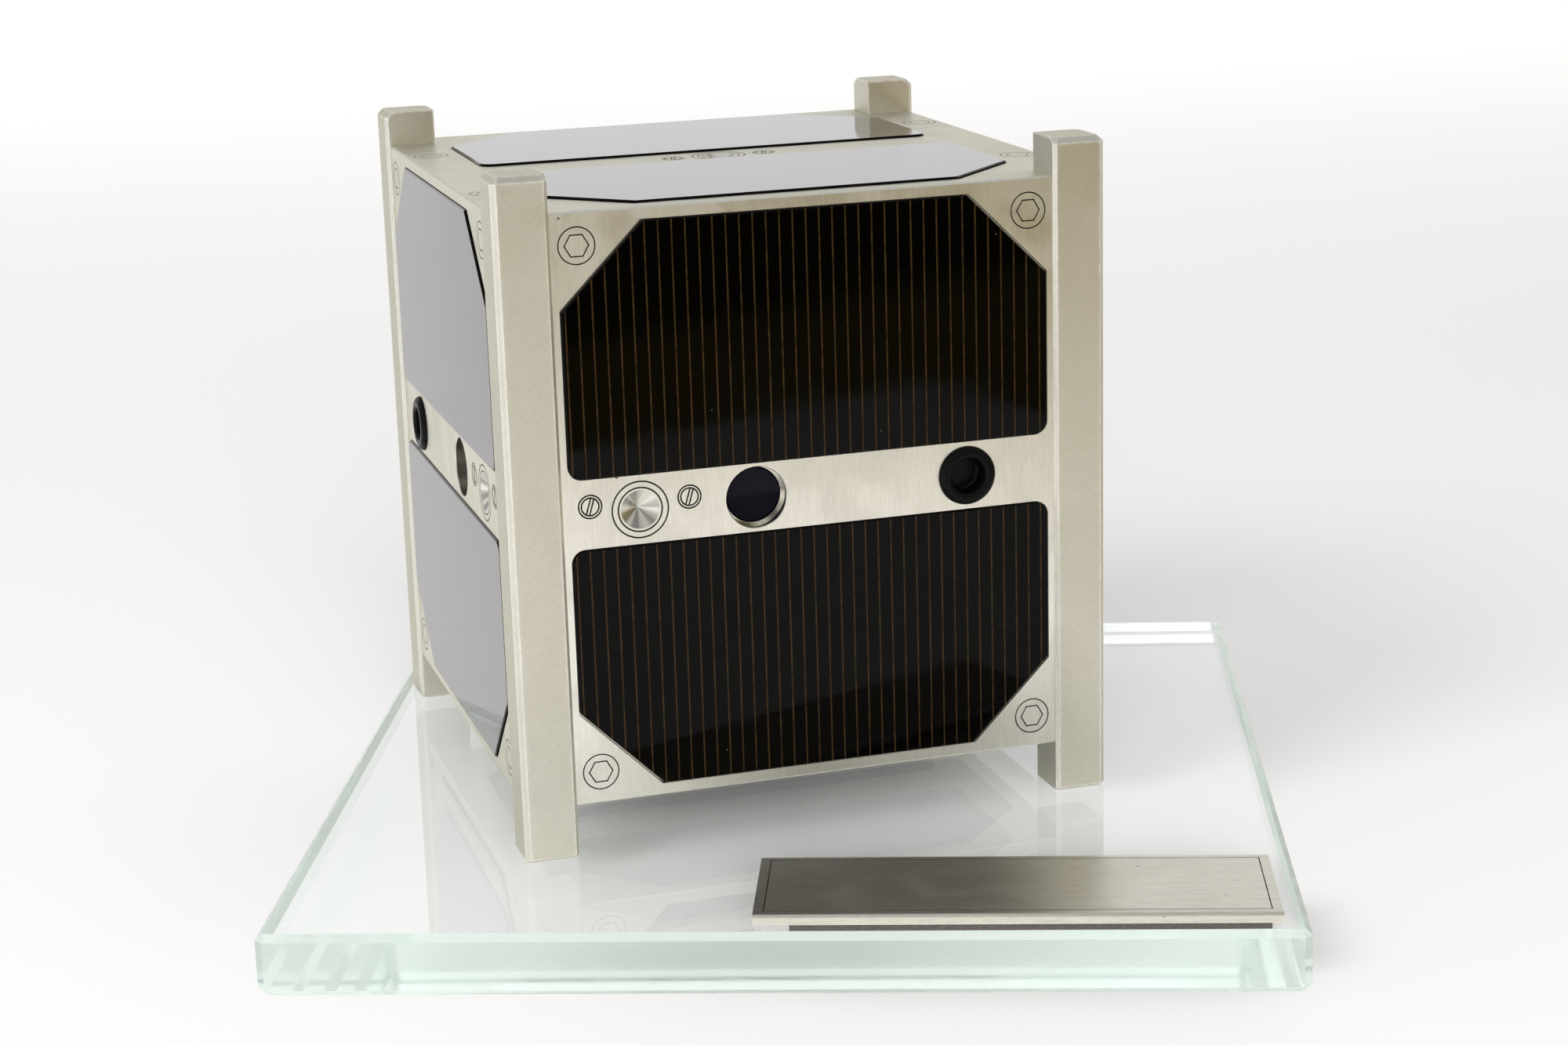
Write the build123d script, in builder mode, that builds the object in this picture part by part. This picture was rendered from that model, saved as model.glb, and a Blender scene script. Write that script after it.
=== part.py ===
from build123d import *
import os
from math import cos, radians, sin, sqrt, tan

# Display model of a one-unit cube satellite, on a glass base with a blank name plate.
# The frame's origin is the middle of the glass underside: X runs along the base's front edge,
# Y to its back and Z up. All sizes are in millimetres.

# ---------------------------------------------------------------- glass base
base_width = 159.0
base_depth = 159.0
base_thickness = 10.0
base_arris = 1.1            # ground and polished edge, top and bottom
base_corner = 1.2           # the same on the four upright corners

# ---------------------------------------------------------------- where the cube stands on it
cube_x = -12.4
cube_y = 13.6
cube_turn = 20.5            # degrees, counter-clockwise seen from above

# ---------------------------------------------------------------- rails
cube_width = 100.0          # across the outer faces of the rails, both ways
rail_section = 8.8          # square bar
leg_length = 8.5            # rail below the panels
stub_length = 6.0           # rail above the panels
panel_height = 95.5         # of the four sides, between legs and stubs
rail_outer_arris = 0.85     # on the corner that points out along the cube's diagonal
rail_side_arris = 0.55      # on the two corners beside the panels
rail_top_arris = 1.0
rail_foot_arris = 0.5

# ---------------------------------------------------------------- panels between the rails
panel_recess = 0.7          # panel faces lie this far behind the rails' outer faces
panel_thickness = 6.0
panel_arris = 0.3           # broken edge where two panels meet in a mitre

# ---------------------------------------------------------------- solar cells in their pockets
strip_width = 11.4          # bare strip across the panel's middle, between its two cells
cell_side_margin = 1.2      # from the cell to the panel's edge beside a rail
cell_end_margin = 2.05      # from the cell to the side panel's top or bottom edge
cell_corner_cut = 13.5      # off both edges of the two corners away from the strip
cell_corner_radius = 2.2    # of the two corners beside the strip
cell_proud = 0.4            # the cell stands above the panel's face
cell_arris = 0.2
pocket_depth = 1.0
pocket_side_gap = 0.12      # around the cell's straight edges
pocket_cut_gap = 0.35       # and along its cut corners

# ---------------------------------------------------------------- fittings in the middle strip
# Places run along the strip from the panel's middle, towards the rail that this side
# shares with its mirrored neighbour.
dimple_place = 28.7
lens_place = 9.6
grommet_place = -26.0

dimple_diameter = 6.2
dimple_point = 118.0        # degrees, as a drill's point leaves it

lens_hole = 9.9             # wide part of the hole, in front of the lens
lens_sink = 2.2             # depth of that part, down to the lens and the ledge around it
lens_diameter = 9.0
lens_flange_width = 0.9     # flange at the lens's back, held against the back of the ledge
lens_flange_thickness = 1.5
lens_slip = 0.1             # clearance around the lens and its flange

grommet_flange = 9.7
grommet_proud = 1.0
grommet_rim_bevel = 0.5     # on the flange's outer edge
grommet_barrel = 7.6
grommet_barrel_length = 4.0
grommet_slip = 0.1          # clearance between the barrel and its hole
grommet_bore = 5.7
grommet_bore_depth = 3.4
grommet_bore_lead = 0.4     # lead-in chamfer of the bore

# ---------------------------------------------------------------- name plate on its tape
plate_width = 79.0
plate_depth = 24.0
plate_thickness = 1.6
plate_rounding = 0.6        # of the top edges along the plate's length, rolled over in shearing
plate_x = 35.7
plate_front_gap = 1.0       # from the glass's front edge to the plate
tape_thickness = 1.0
tape_left_margin = 5.5      # tape inside the plate's outline, laid a little off centre
tape_right_margin = 1.7
tape_front_margin = 0.2

# ---------------------------------------------------------------- worked out from the above
half_panel = cube_width / 2 - panel_recess
inner_corner = cube_width / 2 - rail_section
rail_middle = cube_width / 2 - rail_section / 2
rail_length = leg_length + panel_height + stub_length
side_panel_width = 2 * inner_corner
cell_length = side_panel_width - 2 * cell_side_margin
cell_height = (panel_height - strip_width) / 2 - cell_end_margin
cell_spacing = cell_height + strip_width
panel_bottom_z = base_thickness + leg_length
panel_top_z = panel_bottom_z + panel_height
panel_middle_z = panel_bottom_z + panel_height / 2
cell_thickness = pocket_depth + cell_proud
lens_thickness = panel_thickness - lens_sink
lens_flange = lens_diameter + 2 * lens_flange_width
dimple_depth = dimple_diameter / 2 / tan(radians(dimple_point / 2))
plate_y = -base_depth / 2 + plate_front_gap + plate_depth / 2
tape_x = plate_x + (tape_left_margin - tape_right_margin) / 2
tape_width = plate_width - tape_left_margin - tape_right_margin

cube = Plane(
    origin=(cube_x, cube_y, base_thickness),
    x_dir=(cos(radians(cube_turn)), sin(radians(cube_turn)), 0),
    z_dir=(0, 0, 1),
)

# rails: name, side of the cube along its X and its Y
RAILS = [
    ("rail_front_left", -1, -1),
    ("rail_front_right", 1, -1),
    ("rail_back_right", 1, 1),
    ("rail_back_left", -1, 1),
]
# sides: name, turn about the cube's upright axis, where its shared rail is seen from outside
SIDES = [
    ("front", 0, -1),
    ("right", 90, 1),
    ("back", 180, -1),
    ("left", 270, 1),
]
# ends: name, height of the outer face, outward direction along Z, has a dimple
ENDS = [
    ("top", panel_top_z, 1, True),
    ("bottom", panel_bottom_z, -1, False),
]
# cells of one panel: name, place across the strip, turn of the cut corners
CELLS = [
    ("upper", cell_spacing / 2, 0),
    ("lower", -cell_spacing / 2, 180),
]

pieces = []


def keep(builder, name):
    """Label a finished piece and list it for export."""
    builder.part.label = name
    pieces.append(builder.part)


def side_face(turn):
    """Outer face of a side panel: X to the right seen from outside, Y up, Z outwards."""
    outward = (cube.y_dir * -1).rotate(Axis.Z, turn)
    rightward = cube.x_dir.rotate(Axis.Z, turn)
    middle = Vector(cube_x, cube_y, panel_middle_z) + outward * half_panel
    return Plane(origin=middle, x_dir=rightward, z_dir=outward)


def end_face(height, outward):
    """Outer face of the top or the bottom panel."""
    return Plane(origin=(cube_x, cube_y, height), x_dir=cube.x_dir, z_dir=(0, 0, outward))


def cell_outline(side_grow, cut_grow):
    """A cell's outline with its cut corners up, grown on its straight and its cut edges."""
    cut = cell_corner_cut + 2 * side_grow - sqrt(2) * cut_grow
    with BuildSketch(mode=Mode.PRIVATE) as outline:
        Rectangle(cell_length + 2 * side_grow, cell_height + 2 * side_grow)
        chamfer(outline.vertices().group_by(Axis.Y)[-1], cut)
        fillet(outline.vertices().group_by(Axis.Y)[0], cell_corner_radius + side_grow)
    return outline.sketch


cell_profile = cell_outline(0, 0)
pocket_profile = cell_outline(pocket_side_gap, pocket_cut_gap)


def cut_pockets(face):
    """Mill the two cell pockets into the panel being built."""
    with BuildSketch(face, mode=Mode.PRIVATE) as pockets:
        for _, place, turn in CELLS:
            with Locations((0, place)):
                add(pocket_profile, rotation=turn)
    extrude(pockets.sketch, amount=-pocket_depth, mode=Mode.SUBTRACT)


def cut_dimple(face, place):
    """Sink a drill point into the panel being built."""
    with Locations(face.offset(-dimple_depth / 2)):
        with Locations((place, 0)):
            Cone(0, dimple_diameter / 2, dimple_depth, mode=Mode.SUBTRACT)


# ================================================================ glass base
with BuildPart() as glass_base:
    with BuildSketch():
        Rectangle(base_width, base_depth)
    extrude(amount=base_thickness)
    chamfer(glass_base.edges().filter_by(Axis.Z), base_corner)
    chamfer(glass_base.faces().sort_by(Axis.Z)[-1].edges(), base_arris)
    chamfer(glass_base.faces().sort_by(Axis.Z)[0].edges(), base_arris)
keep(glass_base, "glass_base")

# ================================================================ name plate and its tape
with BuildPart() as mounting_tape:
    with BuildSketch(Plane.XY.offset(base_thickness)):
        with Locations((tape_x, plate_y)):
            Rectangle(tape_width, plate_depth - 2 * tape_front_margin)
    extrude(amount=tape_thickness)
keep(mounting_tape, "mounting_tape")

with BuildPart() as name_plate:
    with BuildSketch(Plane.XY.offset(base_thickness + tape_thickness)):
        with Locations((plate_x, plate_y)):
            Rectangle(plate_width, plate_depth)
    extrude(amount=plate_thickness)
    top_edges = name_plate.faces().sort_by(Axis.Z)[-1].edges()
    fillet(top_edges.filter_by(Axis.X), plate_rounding)
keep(name_plate, "name_plate")

# ================================================================ rails
# Square bars in the cube's four upright corners, with legs below and stubs above the panels.
for rail_name, along_x, along_y in RAILS:
    with BuildPart() as rail:
        with BuildSketch(cube) as bar:
            with Locations((along_x * rail_middle, along_y * rail_middle)):
                Rectangle(rail_section, rail_section)
            chamfer(bar.vertices().sort_by_distance((0, 0, 0))[-1], rail_outer_arris)
            chamfer(bar.vertices().sort_by_distance((0, 0, 0))[1:3], rail_side_arris)
        extrude(amount=rail_length)
        # the two edges that look at the cube's axis stay sharp at both ends
        for end, arris in ((-1, rail_top_arris), (0, rail_foot_arris)):
            end_edges = rail.faces().sort_by(Axis.Z)[end].edges()
            axis_point = (cube_x, cube_y, end_edges[0].center().Z)
            chamfer(end_edges.sort_by_distance(axis_point)[2:], arris)
    keep(rail, rail_name)

# ================================================================ side panels
# Plates between the rails, mitred to the top and the bottom panel, all four with the same
# pockets and fittings. Neighbours mirror each other across the rail that they share.
for side, turn, hand in SIDES:
    face = side_face(turn)
    section = Plane(
        origin=face.origin - face.x_dir * side_panel_width / 2,
        x_dir=face.y_dir,
        z_dir=face.x_dir,
    )
    with BuildPart() as side_panel:
        with BuildSketch(section):
            with BuildLine():
                half = panel_height / 2
                Polyline(
                    (-half + panel_arris, 0),
                    (half - panel_arris, 0),
                    (half - panel_arris / 2, -panel_arris / 2),
                    (half - panel_thickness, -panel_thickness),
                    (-half + panel_thickness, -panel_thickness),
                    (-half + panel_arris / 2, -panel_arris / 2),
                    close=True,
                )
            make_face()
        extrude(amount=side_panel_width)
        cut_pockets(face)
        cut_dimple(face, hand * dimple_place)
        with Locations(face):
            with Locations((hand * lens_place, 0)):
                CounterBoreHole(lens_diameter / 2 + lens_slip, lens_hole / 2, lens_sink)
            with Locations((hand * grommet_place, 0)):
                Hole(grommet_barrel / 2 + grommet_slip)
        with BuildSketch(face.offset(-panel_thickness)):
            with Locations((hand * lens_place, 0)):
                Circle(lens_flange / 2 + lens_slip)
        extrude(amount=lens_flange_thickness, mode=Mode.SUBTRACT)
    keep(side_panel, f"panel_{side}")

    # dark lens, pushed in from behind until its flange lies against the ledge in its hole
    with BuildPart() as lens:
        for diameter, thickness in (
            (lens_flange, lens_flange_thickness),
            (lens_diameter, lens_thickness),
        ):
            with BuildSketch(face.offset(-panel_thickness)):
                with Locations((hand * lens_place, 0)):
                    Circle(diameter / 2)
            extrude(amount=thickness)
    keep(lens, f"lens_{side}")

    # rubber grommet: a flange on the panel's face and a blind barrel through its hole
    middle = face.origin + face.x_dir * hand * grommet_place
    with BuildPart() as grommet:
        with BuildSketch(Plane(origin=middle, x_dir=face.x_dir, z_dir=face.y_dir * -1)):
            with BuildLine():
                Polyline(
                    (0, grommet_proud - grommet_bore_depth),
                    (grommet_bore / 2, grommet_proud - grommet_bore_depth),
                    (grommet_bore / 2, grommet_proud - grommet_bore_lead),
                    (grommet_bore / 2 + grommet_bore_lead, grommet_proud),
                    (grommet_flange / 2 - grommet_rim_bevel, grommet_proud),
                    (grommet_flange / 2, grommet_proud - grommet_rim_bevel),
                    (grommet_flange / 2, 0),
                    (grommet_barrel / 2, 0),
                    (grommet_barrel / 2, -grommet_barrel_length),
                    (0, -grommet_barrel_length),
                    close=True,
                )
            make_face()
        revolve(axis=Axis(middle, face.z_dir))
    keep(grommet, f"grommet_{side}")

# ================================================================ top and bottom panels
# Square plates with a notch round each rail, mitred on all four edges.
for end, height, outward, has_dimple in ENDS:
    face = end_face(height, outward)
    with BuildPart() as end_panel:
        for upper_depth, lower_depth, upper_inset in (
            (0, panel_arris / 2, panel_arris),
            (panel_arris / 2, panel_thickness, panel_arris / 2),
        ):
            with BuildSketch(face.offset(-upper_depth)):
                Rectangle(2 * (half_panel - upper_inset), 2 * (half_panel - upper_inset))
            with BuildSketch(face.offset(-lower_depth)):
                Rectangle(2 * (half_panel - lower_depth), 2 * (half_panel - lower_depth))
            loft()
        with BuildSketch(face):
            with GridLocations(2 * rail_middle, 2 * rail_middle, 2, 2):
                Rectangle(rail_section, rail_section)
        extrude(amount=-panel_thickness, mode=Mode.SUBTRACT)
        cut_pockets(face)
        if has_dimple:
            cut_dimple(face, 0)
    keep(end_panel, f"panel_{end}")

# ================================================================ solar cells
faces = [(side, side_face(turn)) for side, turn, _ in SIDES]
faces += [(end, end_face(height, outward)) for end, height, outward, _ in ENDS]
for panel_name, face in faces:
    for cell_name, place, turn in CELLS:
        with BuildPart() as cell:
            with BuildSketch(face.offset(-pocket_depth)):
                with Locations((0, place)):
                    add(cell_profile, rotation=turn)
            extrude(amount=cell_thickness)
            outer = cell.faces().sort_by(Axis(face.origin, face.z_dir))[-1]
            chamfer(outer.edges(), cell_arris)
        keep(cell, f"cell_{panel_name}_{cell_name}")

# ================================================================ one STEP file for each piece
os.makedirs("parts", exist_ok=True)
for piece in pieces:
    export_step(piece, f"parts/{piece.label}.step")
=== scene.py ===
import math

import bmesh
import bpy
from mathutils import Matrix, Vector


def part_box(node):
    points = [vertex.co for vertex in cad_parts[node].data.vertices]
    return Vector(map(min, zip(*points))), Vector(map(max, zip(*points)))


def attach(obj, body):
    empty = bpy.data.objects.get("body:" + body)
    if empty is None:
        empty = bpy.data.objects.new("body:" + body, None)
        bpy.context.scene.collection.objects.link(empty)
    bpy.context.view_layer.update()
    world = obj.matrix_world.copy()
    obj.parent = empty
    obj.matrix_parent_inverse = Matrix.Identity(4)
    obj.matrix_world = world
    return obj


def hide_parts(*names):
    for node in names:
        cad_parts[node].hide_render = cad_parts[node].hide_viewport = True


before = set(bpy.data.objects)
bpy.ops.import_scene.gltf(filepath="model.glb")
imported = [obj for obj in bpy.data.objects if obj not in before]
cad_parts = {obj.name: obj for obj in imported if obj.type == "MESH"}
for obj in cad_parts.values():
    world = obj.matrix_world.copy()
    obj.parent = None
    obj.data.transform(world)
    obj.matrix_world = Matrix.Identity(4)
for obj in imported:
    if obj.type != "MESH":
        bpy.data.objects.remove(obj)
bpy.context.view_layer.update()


# ---- Camera --------------------------------------------------------------------------------
# A short telephoto lens, a little above the model. It looks down at it, and is rolled by nearly
# two degrees.

MM = 0.001  # one millimetre, in metres

camera_place = Vector((28.8, -489.3, 182.5)) * MM
camera_swing = math.radians(3.625)
camera_dip = math.radians(14.851)
camera_roll = math.radians(-1.707)
camera_lens = 67.83
sensor_width = 36
nearest_seen = 10 * MM
glass_bounces = 28
most_bounces = 32

optics = bpy.data.cameras.new("camera")
optics.lens = camera_lens
optics.sensor_width = sensor_width
optics.clip_start = nearest_seen
camera = bpy.data.objects.new("camera", optics)
camera.matrix_world = (
    Matrix.Translation(camera_place)
    @ Matrix.Rotation(camera_swing, 4, "Z")
    @ Matrix.Rotation(math.pi / 2 - camera_dip, 4, "X")
    @ Matrix.Rotation(camera_roll, 4, "Z")
)
bpy.context.scene.collection.objects.link(camera)
bpy.context.scene.camera = camera
bpy.context.scene.view_settings.view_transform = "Standard"

# Light goes round many times inside the thick glass before it comes out again.
bpy.context.scene.cycles.max_bounces = most_bounces
bpy.context.scene.cycles.glossy_bounces = glass_bounces
bpy.context.scene.cycles.transmission_bounces = glass_bounces


# ---- Tent ----------------------------------------------------------------------------------
# A white light tent all round the model, brightest at the back. It is open at the front right,
# where a brown room shows in the metal. The camera sees a pale backdrop instead, with painted
# shade that darkens it towards the right.

# A reach, or a pair of levels, is where a glow starts to change and where its change is full, from
# 0, looking across its direction, to 1, looking straight along it.
tent_glow = 0.50
left_glow = 0.14
left_direction = (-1.0, 0.1, 0.25)
left_reach = (0.0, 0.95)
back_glow = 0.36
back_direction = (0.0, 1.0, 0.25)
back_reach = (0.75, 0.97)
low_glow = 0.12
low_levels = (0.15, 0.5)
opening_colour = (0.41, 0.32, 0.12)
opening_direction = (0.85, -0.53, 0.0)
opening_reach = (0.5, 0.8)
opening_levels = (0.32, 0.12)
backdrop_left = (0.955, 0.95, 0.945)
backdrop_right_shaded = (0.82, 0.80, 0.78)
backdrop_direction = (1.0, 0.0, -0.2)
backdrop_reach = (-0.25, 0.3)


def add(tree, kind, inputs=(), **settings):
    """A shader node, with its settings, and its sockets linked or set by name or number."""
    made = tree.nodes.new(kind)
    for name, value in settings.items():
        setattr(made, name, value)
    for name, value in dict(inputs).items():
        if isinstance(value, bpy.types.NodeSocket):
            tree.links.new(value, made.inputs[name])
        else:
            made.inputs[name].default_value = value
    return made


def maths(tree, operation, *values):
    """The output of a Math node."""
    return add(tree, "ShaderNodeMath", dict(enumerate(values)), operation=operation).outputs[0]


def ramp(tree, value, low, high, start=0.0, end=1.0):
    """A smooth step from start, at low, to end, at high."""
    return add(
        tree,
        "ShaderNodeMapRange",
        {"Value": value, "From Min": low, "From Max": high, "To Min": start, "To Max": end},
        interpolation_type="SMOOTHSTEP",
    ).outputs["Result"]


def blend_colours(tree, factor, first, second):
    """The output of a Mix node that goes from the first colour to the second."""
    return add(
        tree, "ShaderNodeMix", {0: factor, 6: first, 7: second}, data_type="RGBA"
    ).outputs[2]


def opaque(colour, strength=1.0):
    """A colour with its alpha, made lighter or darker."""
    return (*[part * strength for part in colour], 1.0)


tent = bpy.data.worlds.new("tent")
tent.use_nodes = True
bpy.context.scene.world = tent
tree = tent.node_tree
tree.nodes.clear()
direction = add(tree, "ShaderNodeTexCoord").outputs["Generated"]


def towards(axis):
    """How far a direction of the tent looks along an axis, from -1 to 1."""
    return add(
        tree,
        "ShaderNodeVectorMath",
        {0: direction, 1: Vector(axis).normalized()},
        operation="DOT_PRODUCT",
    ).outputs["Value"]


left = ramp(tree, towards(left_direction), *left_reach, 0.0, left_glow)
back = ramp(tree, towards(back_direction), *back_reach, 0.0, back_glow)
level = maths(tree, "ABSOLUTE", towards((0.0, 0.0, 1.0)))
low_down = ramp(tree, level, *low_levels, low_glow, 0.0)
glow = maths(tree, "ADD", maths(tree, "ADD", left, back), low_down)
glow = maths(tree, "ADD", glow, tent_glow)
opening = ramp(tree, towards(opening_direction), *opening_reach)
opening = maths(tree, "MULTIPLY", opening, ramp(tree, level, *opening_levels))
light = add(tree, "ShaderNodeBackground", {"Color": (1, 1, 1, 1), "Strength": glow})
dark = add(tree, "ShaderNodeBackground", {"Color": opaque(opening_colour)})
lighting = add(tree, "ShaderNodeMixShader", {0: opening, 1: light.outputs[0], 2: dark.outputs[0]})
# Painted shade: the backdrop darkens towards the right.
backdrop_shade = ramp(tree, towards(backdrop_direction), *backdrop_reach)
backdrop = add(
    tree,
    "ShaderNodeBackground",
    {"Color": blend_colours(tree, backdrop_shade, opaque(backdrop_left), opaque(backdrop_right_shaded))},
)
seen = add(tree, "ShaderNodeLightPath").outputs["Is Camera Ray"]
shown = add(
    tree, "ShaderNodeMixShader", {0: seen, 1: lighting.outputs[0], 2: backdrop.outputs[0]}
)
add(tree, "ShaderNodeOutputWorld", {"Surface": shown.outputs[0]})


# ---- Lamps ---------------------------------------------------------------------------------
# A soft key lamp high at the front left, and a broader fill lamp in front. They light what is
# matt, while metal and glass mirror only the tent.

lamp_distance = 2.2

# Each lamp's direction from the model, its size in metres and its power in watts.
lamps = {
    "key": ((-0.53, -0.58, 0.62), 0.9, 17.0),
    "fill": ((0.1, -0.85, 0.5), 1.6, 35.0),
}

for name, (axis, size, power) in lamps.items():
    bulb = bpy.data.lights.new(name, "AREA")
    bulb.shape = "DISK"
    bulb.size = size
    bulb.energy = power
    lamp = bpy.data.objects.new(name, bulb)
    lamp.location = Vector(axis).normalized() * lamp_distance
    lamp.rotation_euler = Vector(axis).to_track_quat("Z", "Y").to_euler()
    lamp.visible_glossy = False
    bpy.context.scene.collection.objects.link(lamp)


# ---- Table ---------------------------------------------------------------------------------
# A table covered with white paper, with painted shade that makes it a little darker on the right.
# Its far side glows, so that it fades into the backdrop.

table_radius = 6.0
table_sides = 96
smooth_angle = 30  # in degrees
table_gap = 0.15 * MM
table_left = (0.885, 0.882, 0.88)
table_right_shaded = (0.86, 0.845, 0.83)
table_across = (-0.4, 0.6)
far_glow = 0.5
far_reach = (0.1, 1.6)


def finish(name, **sockets):
    """A material with one Principled shader. Sockets are set by name, with _ for a space.

    A socket that is linked later keeps a typical plain value, for tools that can't read nodes.
    """
    made = bpy.data.materials.new(name)
    made.use_nodes = True
    shader = made.node_tree.nodes["Principled BSDF"]
    for socket, value in sockets.items():
        shader.inputs[socket.replace("_", " ")].default_value = value
    return made, made.node_tree, shader


def link(tree, shader, **sockets):
    """Links values to the shader's sockets, named with _ for a space."""
    for socket, value in sockets.items():
        tree.links.new(value, shader.inputs[socket.replace("_", " ")])


def mesh_object(name, builder, finishes):
    """An object from a bmesh, in metres, with smooth shading up to an angle."""
    mesh = bpy.data.meshes.new(name)
    builder.to_mesh(mesh)
    builder.free()
    for each in finishes:
        mesh.materials.append(each)
    mesh.shade_smooth()
    mesh.set_sharp_from_angle(angle=math.radians(smooth_angle))
    made = bpy.data.objects.new(name, mesh)
    bpy.context.scene.collection.objects.link(made)
    return made


table_paint, tree, shader = finish("table_paint", Roughness=0.9, Specular_IOR_Level=0.1)
place = add(tree, "ShaderNodeTexCoord").outputs["Object"]
parts = add(tree, "ShaderNodeSeparateXYZ", {0: place}).outputs
# Painted shade: the paper is darker and warmer towards the right.
table_shade = ramp(tree, parts["X"], *table_across)
tone = blend_colours(tree, table_shade, opaque(table_left), opaque(table_right_shaded))
far = ramp(tree, parts["Y"], *far_reach, 0.0, far_glow)
link(tree, shader, Base_Color=tone, Emission_Color=tone, Emission_Strength=far)
builder = bmesh.new()
bmesh.ops.create_circle(builder, cap_ends=True, segments=table_sides, radius=table_radius)
table = mesh_object("table", builder, [table_paint])
table.location.z = -table_gap


# ---- Desk ----------------------------------------------------------------------------------
# The desk beyond the paper, brown as far as its front edge, and the dark floor past that edge.
# Both show only as a reflection, in the metal, the cells and the glass.

desk_height = 0.5 * MM
desk_end = -0.42
desk_fade = 0.03
desk_brown = (0.32, 0.245, 0.10)
desk_dark = (0.05, 0.04, 0.016)
paper_edge = -0.315
desk_corners = [
    (0.03, paper_edge),
    (0.16, -0.6),
    (0.7, -3.0),
    (2.5, -3.0),
    (2.5, 0.2),
    (0.21, 0.2),
    (0.27, paper_edge),
]

desk_paint, tree, shader = finish("desk", Roughness=0.8, Specular_IOR_Level=0.1)
place = add(tree, "ShaderNodeTexCoord").outputs["Object"]
forward = add(tree, "ShaderNodeSeparateXYZ", {0: place}).outputs["Y"]
beyond = ramp(tree, forward, desk_end, desk_end - desk_fade)
link(tree, shader, Base_Color=blend_colours(tree, beyond, opaque(desk_brown), opaque(desk_dark)))
builder = bmesh.new()
builder.faces.new([builder.verts.new((x, y, desk_height)) for x, y in desk_corners])
desk = mesh_object("desk", builder, [desk_paint])
desk.visible_camera = False
desk.visible_diffuse = False
desk.visible_transmission = False
desk.visible_shadow = False


# ---- Glass base ----------------------------------------------------------------------------
# A square of thick float glass with ground edges. It is clear from above, and pale green where
# the light has gone a long way through it. What stands on it touches it only here and there.

glass_tint = (0.44, 0.90, 0.68, 1.0)
glass_density = 1.6
ground_white = (0.84, 0.92, 0.88, 1.0)
ground_roughness = (0.049, 0.091)
haze_scale = 25.0
haze_reach = (0.3, 0.7)
edge_slope = 0.9
arris_slope = 0.3
edge_milkiness = 0.2
arris_milkiness = 0.36
contact_gap = 0.03  # in millimetres


def stand_in(node, finishes, name):
    """A copy of a CAD node's mesh that is shown in its place, with its own finishes."""
    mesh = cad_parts[node].data.copy()
    mesh.name = name
    mesh.materials.clear()
    for each in finishes:
        mesh.materials.append(each)
    if "custom_normal" in mesh.attributes:
        mesh.attributes.remove(mesh.attributes["custom_normal"])
    made = bpy.data.objects.new(name, mesh)
    bpy.context.scene.collection.objects.link(made)
    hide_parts(node)
    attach(made, "root")
    return made


clear_glass, tree, shader = finish(
    "clear_glass", Base_Color=(1, 1, 1, 1), Roughness=0.0, IOR=1.52, Transmission_Weight=1.0
)
# Only the edges are ground. The arrises stand at a slant, and are ground the coarsest.
facing_up = add(
    tree, "ShaderNodeSeparateXYZ", {0: add(tree, "ShaderNodeNewGeometry").outputs["True Normal"]}
).outputs["Z"]
slope = maths(tree, "ABSOLUTE", facing_up)
at_edge = maths(tree, "LESS_THAN", slope, edge_slope)
haze = add(tree, "ShaderNodeTexNoise", {"Scale": haze_scale, "Detail": 1.0}).outputs["Fac"]
haze = ramp(tree, haze, *haze_reach, *ground_roughness)
link(tree, shader, Roughness=maths(tree, "MULTIPLY", at_edge, haze))
passing = add(tree, "ShaderNodeBsdfTransparent", {"Color": (0.99, 0.99, 0.99, 1)})
ray = add(tree, "ShaderNodeLightPath").outputs
lit_through = maths(tree, "MAXIMUM", ray["Is Shadow Ray"], ray["Is Diffuse Ray"])
ground = add(tree, "ShaderNodeBsdfDiffuse", {"Color": ground_white})
on_arris = maths(tree, "GREATER_THAN", slope, arris_slope)
milkiness = ramp(tree, on_arris, 0.0, 1.0, edge_milkiness, arris_milkiness)
milky = maths(tree, "MULTIPLY", at_edge, milkiness)
solid = add(tree, "ShaderNodeMixShader", {0: milky, 1: shader.outputs[0], 2: ground.outputs[0]})
either = add(
    tree, "ShaderNodeMixShader", {0: lit_through, 1: solid.outputs[0], 2: passing.outputs[0]}
)
inside = add(
    tree, "ShaderNodeVolumeAbsorption", {"Color": glass_tint, "Density": glass_density}
)
output = tree.nodes["Material Output"]
tree.links.new(either.outputs[0], output.inputs["Surface"])
tree.links.new(inside.outputs[0], output.inputs["Volume"])

glass_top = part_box("glass_base")[1].z
slab = stand_in("glass_base", [clear_glass], "glass_slab")
for vertex in slab.data.vertices:
    if vertex.co.z > glass_top - contact_gap * MM:
        vertex.co.z -= contact_gap * MM


# ---- Mounting tape -------------------------------------------------------------------------
# Dark foam tape with adhesive on both sides, cut a little smaller than the plate that it holds.
# Its cut edges show the foam's pores.

tape_brown = (0.10, 0.088, 0.078)
tape_shades = (0.6, 1.3)
pore_scale = 4000.0
pore_depth = 0.1 * MM


def dress(made, *names):
    """Gives CAD nodes a finish through their material slots."""
    for name in names:
        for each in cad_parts[name].material_slots:
            each.material = made


def shades(colour, strengths):
    """A colour made darker and lighter, by a pair of strengths."""
    return [opaque(colour, strength) for strength in strengths]


tape_foam, tree, shader = finish("tape_foam", Roughness=0.85, Specular_IOR_Level=0.2)
place = add(tree, "ShaderNodeTexCoord").outputs["Object"]
pores = add(
    tree, "ShaderNodeTexVoronoi", {"Vector": place, "Scale": pore_scale}
).outputs["Distance"]
tone = blend_colours(tree, pores, *shades(tape_brown, tape_shades))
dent = add(tree, "ShaderNodeBump", {"Height": pores, "Distance": pore_depth}).outputs[0]
link(tree, shader, Base_Color=tone, Normal=dent)
dress(tape_foam, "mounting_tape")


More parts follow.
